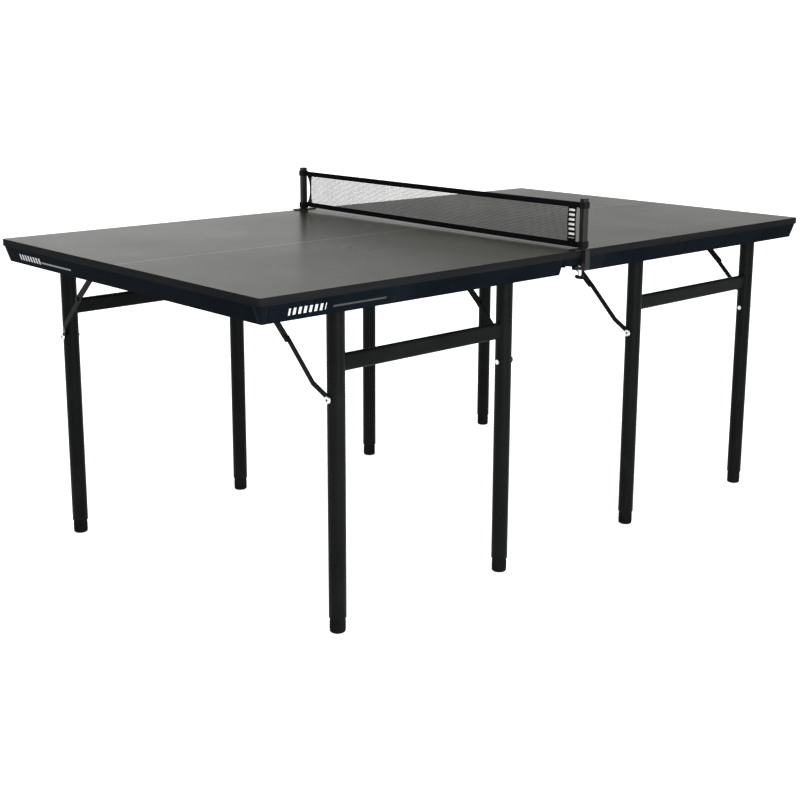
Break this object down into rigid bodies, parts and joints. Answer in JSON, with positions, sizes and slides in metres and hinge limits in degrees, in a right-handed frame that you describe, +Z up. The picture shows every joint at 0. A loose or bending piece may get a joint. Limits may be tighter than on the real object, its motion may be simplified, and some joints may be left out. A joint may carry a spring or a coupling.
{
  "type": "table tennis table",
  "caption": "Compact two-piece table tennis table with slanted aprons, folding tubular leg frames, knee braces and a clamp-on net.",
  "frame": {"origin": "on the floor under the middle of the seam between the two halves, at the centre of the bounding box's base", "axes": "+X along the table from the left half to the right half, +Y across it away from the near side, +Z up"},
  "size_m": [1.83, 1.056, 0.868],
  "materials": {
    "board_paint": "satin charcoal paint on fibreboard",
    "edge_band": "glossy dark grey",
    "apron_paint": "satin near-black",
    "corner_plastic": "matt black",
    "zinc_steel": "zinc plated",
    "bolt_steel": "bright plated",
    "net_mesh": "knotted nylon",
    "net_tape": "woven tape",
    "post_paint": "satin black",
    "black_plastic": "matt black",
    "leg_paint": "semi-gloss black powder coat",
    "foot_plastic": "matt black",
    "black_rubber": "matt",
    "screw_zinc": "zinc plated"
  },
  "bodies": {
    "half_left": {"board_left": "board_paint", "edge_band_left": "edge_band", "apron_sides_left": "apron_paint", "apron_ends_left": "apron_paint", "corner_caps_left": "corner_plastic", "leg_brackets_left": "zinc_steel", "brace_anchors_left": "zinc_steel", "pivot_pins_left": "bolt_steel", "screws_left": "bolt_steel", "seam_pins": "bolt_steel", "net_panel": "net_mesh", "net_tapes": "net_tape", "net_posts": "post_paint", "post_collars": "black_plastic", "net_clamps": "post_paint"},
    "half_right": {"board_right": "board_paint", "edge_band_right": "edge_band", "apron_sides_right": "apron_paint", "apron_ends_right": "apron_paint", "corner_caps_right": "corner_plastic", "leg_brackets_right": "zinc_steel", "brace_anchors_right": "zinc_steel", "pivot_pins_right": "bolt_steel", "screws_right": "bolt_steel"},
    "frame_left_near": {"legs_left_near": "leg_paint", "crossbar_left_near": "leg_paint", "feet_left_near": "foot_plastic", "brace_bolts_left_near": "bolt_steel"},
    "lower_link_outer_left_near": {"lower_link_outer_left_near": "leg_paint"},
    "upper_link_outer_left_near": {"upper_link_outer_left_near": "leg_paint"},
    "lower_link_inner_left_near": {"lower_link_inner_left_near": "leg_paint"},
    "upper_link_inner_left_near": {"upper_link_inner_left_near": "leg_paint"},
    "frame_left_far": {"legs_left_far": "leg_paint", "crossbar_left_far": "leg_paint", "feet_left_far": "foot_plastic", "brace_bolts_left_far": "bolt_steel"},
    "lower_link_outer_left_far": {"lower_link_outer_left_far": "leg_paint"},
    "upper_link_outer_left_far": {"upper_link_outer_left_far": "leg_paint"},
    "lower_link_inner_left_far": {"lower_link_inner_left_far": "leg_paint"},
    "upper_link_inner_left_far": {"upper_link_inner_left_far": "leg_paint"},
    "frame_right_near": {"legs_right_near": "leg_paint", "crossbar_right_near": "leg_paint", "feet_right_near": "foot_plastic", "brace_bolts_right_near": "bolt_steel"},
    "lower_link_outer_right_near": {"lower_link_outer_right_near": "leg_paint"},
    "upper_link_outer_right_near": {"upper_link_outer_right_near": "leg_paint"},
    "lower_link_inner_right_near": {"lower_link_inner_right_near": "leg_paint"},
    "upper_link_inner_right_near": {"upper_link_inner_right_near": "leg_paint"},
    "frame_right_far": {"legs_right_far": "leg_paint", "crossbar_right_far": "leg_paint", "feet_right_far": "foot_plastic", "brace_bolts_right_far": "bolt_steel"},
    "lower_link_outer_right_far": {"lower_link_outer_right_far": "leg_paint"},
    "upper_link_outer_right_far": {"upper_link_outer_right_far": "leg_paint"},
    "lower_link_inner_right_far": {"lower_link_inner_right_far": "leg_paint"},
    "upper_link_inner_right_far": {"upper_link_inner_right_far": "leg_paint"},
    "clamp_pad_near": {"clamp_pad_near": "black_rubber"},
    "clamp_screw_near": {"clamp_screw_near": "screw_zinc"},
    "clamp_pad_far": {"clamp_pad_far": "black_rubber"},
    "clamp_screw_far": {"clamp_screw_far": "screw_zinc"}
  },
  "joints": [
    {"name": "halves_apart", "type": "slide", "parent": "half_left", "child": "half_right", "axis": [1, 0, 0], "range_m": [0, 0.3]},
    {"name": "frame_left_near_fold", "type": "hinge", "parent": "half_left", "child": "frame_left_near", "pos_m": [-0.431, -0.444, 0.707], "axis": [1, 0, 0], "range_deg": [0, 90]},
    {"name": "lower_link_outer_left_near_turn", "type": "hinge", "parent": "frame_left_near", "child": "lower_link_outer_left_near", "pos_m": [-0.677, -0.444, 0.506], "axis": [-1, 0, 0], "range_deg": [0, 133.22]},
    {"name": "upper_link_outer_left_near_turn", "type": "hinge", "parent": "half_left", "child": "upper_link_outer_left_near", "pos_m": [-0.677, -0.226, 0.711], "axis": [1, 0, 0], "range_deg": [0, 138.34]},
    {"name": "lower_link_inner_left_near_turn", "type": "hinge", "parent": "frame_left_near", "child": "lower_link_inner_left_near", "pos_m": [-0.185, -0.444, 0.506], "axis": [-1, 0, 0], "range_deg": [0, 133.22]},
    {"name": "upper_link_inner_left_near_turn", "type": "hinge", "parent": "half_left", "child": "upper_link_inner_left_near", "pos_m": [-0.185, -0.226, 0.711], "axis": [1, 0, 0], "range_deg": [0, 138.34]},
    {"name": "frame_left_far_fold", "type": "hinge", "parent": "half_left", "child": "frame_left_far", "pos_m": [-0.5365, 0.444, 0.707], "axis": [-1, 0, 0], "range_deg": [0, 90]},
    {"name": "lower_link_outer_left_far_turn", "type": "hinge", "parent": "frame_left_far", "child": "lower_link_outer_left_far", "pos_m": [-0.783, 0.444, 0.506], "axis": [1, 0, 0], "range_deg": [0, 133.22]},
    {"name": "upper_link_outer_left_far_turn", "type": "hinge", "parent": "half_left", "child": "upper_link_outer_left_far", "pos_m": [-0.783, 0.226, 0.711], "axis": [-1, 0, 0], "range_deg": [0, 138.34]},
    {"name": "lower_link_inner_left_far_turn", "type": "hinge", "parent": "frame_left_far", "child": "lower_link_inner_left_far", "pos_m": [-0.29, 0.444, 0.506], "axis": [1, 0, 0], "range_deg": [0, 133.22]},
    {"name": "upper_link_inner_left_far_turn", "type": "hinge", "parent": "half_left", "child": "upper_link_inner_left_far", "pos_m": [-0.29, 0.226, 0.711], "axis": [-1, 0, 0], "range_deg": [0, 138.34]},
    {"name": "frame_right_near_fold", "type": "hinge", "parent": "half_right", "child": "frame_right_near", "pos_m": [0.5365, -0.444, 0.707], "axis": [1, 0, 0], "range_deg": [0, 90]},
    {"name": "lower_link_outer_right_near_turn", "type": "hinge", "parent": "frame_right_near", "child": "lower_link_outer_right_near", "pos_m": [0.783, -0.444, 0.506], "axis": [-1, 0, 0], "range_deg": [0, 133.22]},
    {"name": "upper_link_outer_right_near_turn", "type": "hinge", "parent": "half_right", "child": "upper_link_outer_right_near", "pos_m": [0.783, -0.226, 0.711], "axis": [1, 0, 0], "range_deg": [0, 138.34]},
    {"name": "lower_link_inner_right_near_turn", "type": "hinge", "parent": "frame_right_near", "child": "lower_link_inner_right_near", "pos_m": [0.29, -0.444, 0.506], "axis": [-1, 0, 0], "range_deg": [0, 133.22]},
    {"name": "upper_link_inner_right_near_turn", "type": "hinge", "parent": "half_right", "child": "upper_link_inner_right_near", "pos_m": [0.29, -0.226, 0.711], "axis": [1, 0, 0], "range_deg": [0, 138.34]},
    {"name": "frame_right_far_fold", "type": "hinge", "parent": "half_right", "child": "frame_right_far", "pos_m": [0.431, 0.444, 0.707], "axis": [-1, 0, 0], "range_deg": [0, 90]},
    {"name": "lower_link_outer_right_far_turn", "type": "hinge", "parent": "frame_right_far", "child": "lower_link_outer_right_far", "pos_m": [0.677, 0.444, 0.506], "axis": [1, 0, 0], "range_deg": [0, 133.22]},
    {"name": "upper_link_outer_right_far_turn", "type": "hinge", "parent": "half_right", "child": "upper_link_outer_right_far", "pos_m": [0.677, 0.226, 0.711], "axis": [-1, 0, 0], "range_deg": [0, 138.34]},
    {"name": "lower_link_inner_right_far_turn", "type": "hinge", "parent": "frame_right_far", "child": "lower_link_inner_right_far", "pos_m": [0.185, 0.444, 0.506], "axis": [1, 0, 0], "range_deg": [0, 133.22]},
    {"name": "upper_link_inner_right_far_turn", "type": "hinge", "parent": "half_right", "child": "upper_link_inner_right_far", "pos_m": [0.185, 0.226, 0.711], "axis": [-1, 0, 0], "range_deg": [0, 138.34]},
    {"name": "clamp_pad_near_travel", "type": "slide", "parent": "half_left", "child": "clamp_pad_near", "axis": [0, 0, -1], "range_m": [0, 0.0025]},
    {"name": "clamp_screw_near_turn", "type": "hinge", "parent": "clamp_pad_near", "child": "clamp_screw_near", "pos_m": [0, -0.506, 0.7], "axis": [0, 0, 1], "range_deg": [0, 720.01]},
    {"name": "clamp_pad_far_travel", "type": "slide", "parent": "half_left", "child": "clamp_pad_far", "axis": [0, 0, -1], "range_m": [0, 0.0025]},
    {"name": "clamp_screw_far_turn", "type": "hinge", "parent": "clamp_pad_far", "child": "clamp_screw_far", "pos_m": [0, 0.506, 0.7], "axis": [0, 0, 1], "range_deg": [0, 720.01]}
  ],
  "couplings": [
    {"joint": "lower_link_outer_left_near_turn", "follows": "frame_left_near_fold", "ratio": 1.4802},
    {"joint": "upper_link_outer_left_near_turn", "follows": "frame_left_near_fold", "ratio": 1.5371},
    {"joint": "lower_link_inner_left_near_turn", "follows": "frame_left_near_fold", "ratio": 1.4802},
    {"joint": "upper_link_inner_left_near_turn", "follows": "frame_left_near_fold", "ratio": 1.5371},
    {"joint": "lower_link_outer_left_far_turn", "follows": "frame_left_far_fold", "ratio": 1.4802},
    {"joint": "upper_link_outer_left_far_turn", "follows": "frame_left_far_fold", "ratio": 1.5371},
    {"joint": "lower_link_inner_left_far_turn", "follows": "frame_left_far_fold", "ratio": 1.4802},
    {"joint": "upper_link_inner_left_far_turn", "follows": "frame_left_far_fold", "ratio": 1.5371},
    {"joint": "lower_link_outer_right_near_turn", "follows": "frame_right_near_fold", "ratio": 1.4802},
    {"joint": "upper_link_outer_right_near_turn", "follows": "frame_right_near_fold", "ratio": 1.5371},
    {"joint": "lower_link_inner_right_near_turn", "follows": "frame_right_near_fold", "ratio": 1.4802},
    {"joint": "upper_link_inner_right_near_turn", "follows": "frame_right_near_fold", "ratio": 1.5371},
    {"joint": "lower_link_outer_right_far_turn", "follows": "frame_right_far_fold", "ratio": 1.4802},
    {"joint": "upper_link_outer_right_far_turn", "follows": "frame_right_far_fold", "ratio": 1.5371},
    {"joint": "lower_link_inner_right_far_turn", "follows": "frame_right_far_fold", "ratio": 1.4802},
    {"joint": "upper_link_inner_right_far_turn", "follows": "frame_right_far_fold", "ratio": 1.5371},
    {"joint": "clamp_screw_near_turn", "follows": "clamp_pad_near_travel", "rad_per_m": 5026.5},
    {"joint": "clamp_screw_far_turn", "follows": "clamp_pad_far_travel", "rad_per_m": 5026.5}
  ]
}
